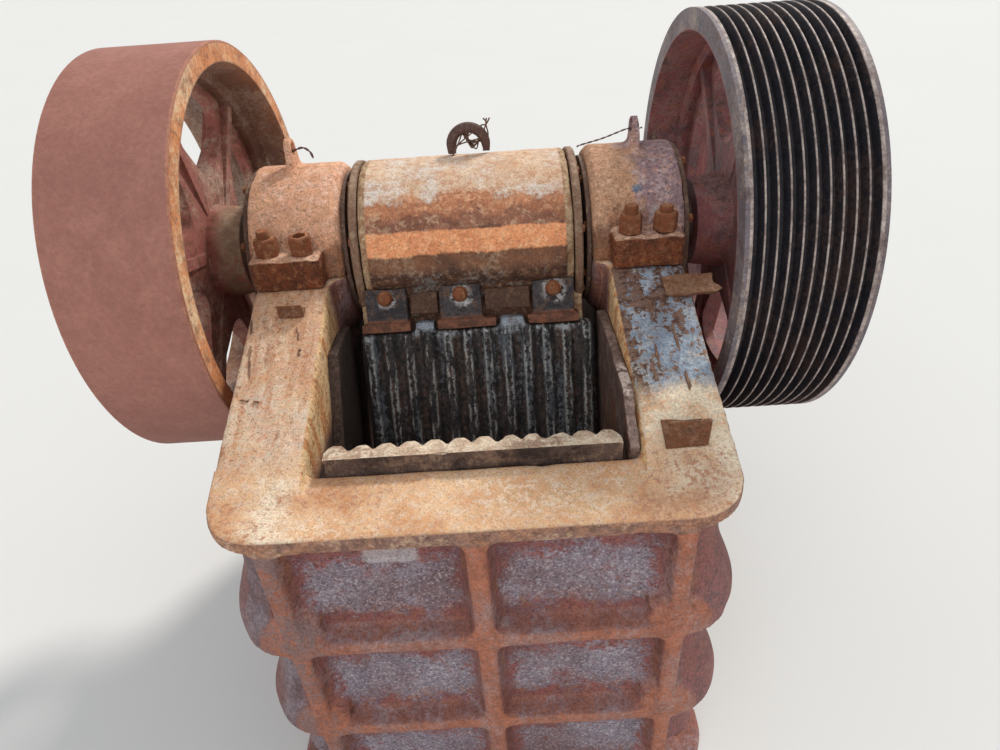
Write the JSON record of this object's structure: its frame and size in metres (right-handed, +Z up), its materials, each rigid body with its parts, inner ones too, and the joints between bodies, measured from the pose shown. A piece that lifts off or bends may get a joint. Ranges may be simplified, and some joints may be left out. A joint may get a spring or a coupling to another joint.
{
  "type": "single-toggle jaw crusher",
  "caption": "Worn stationary rock crusher with a ribbed frame, toothed jaw plates, an overhead eccentric shaft, a plain flywheel and a V-grooved drive wheel.",
  "frame": {"origin": "on the ground at the middle of the four foot bolts, in the machine's middle plane", "axes": "+X to the grooved drive wheel, +Y from the front wall to the rear, +Z up"},
  "size_m": [1.689, 1.657, 1.7029],
  "materials": {
    "frame": "worn red-oxide paint with rust",
    "caps": "worn pinkish red paint, rusty",
    "jaw_casting": "rusty orange casting",
    "jaw_plates": "dark worn manganese steel",
    "flywheel": "faded red-brown rust",
    "sheave": "dark grooves, rusty lands",
    "steel": "brown rust"
  },
  "bodies": {
    "root": {"front_wall": "frame", "side_wall_left": "frame", "side_wall_right": "frame", "rear_wall": "frame", "toggle_block": "frame", "bearing_cap_left": "caps", "bearing_cap_right": "caps", "bearing_covers_left": "caps", "bearing_covers_right": "caps", "toggle_plate": "jaw_casting", "fixed_jaw_plate": "jaw_plates", "cheek_plate_left": "jaw_plates", "cheek_plate_right": "jaw_plates", "cap_studs_left": "steel", "cap_studs_right": "steel", "bracket_right": "steel", "bracket_left": "steel", "bar_stub_right": "steel", "toggle_shims": "steel", "toggle_seat_rear": "steel", "main_bearings": "steel"},
    "shaft": {"eccentric_shaft": "steel", "flywheel_left": "flywheel", "drive_sheave": "sheave", "shaft_end_plates": "steel"},
    "jaw": {"swing_jaw": "jaw_casting", "jaw_bearings": "steel", "moving_jaw_plate": "jaw_plates", "jaw_clamps": "steel", "jaw_clamp_bolts": "steel", "jaw_keys": "steel", "jaw_end_covers": "jaw_casting", "jaw_lifting_ring": "steel", "toggle_seat_jaw": "steel", "tension_rod": "steel", "tension_spring": "steel", "tension_nuts": "steel"}
  },
  "joints": [
    {"name": "shaft_spin", "type": "hinge", "parent": "root", "child": "shaft", "pos_m": [0, 0.315, 1.19], "axis": [1, 0, 0], "continuous": true},
    {"name": "jaw_on_eccentric", "type": "hinge", "parent": "shaft", "child": "jaw", "pos_m": [0, 0.315, 1.18], "axis": [1, 0, 0], "continuous": true}
  ],
  "couplings": [
    {"joint": "jaw_on_eccentric", "follows": "shaft_spin", "ratio": -1}
  ]
}
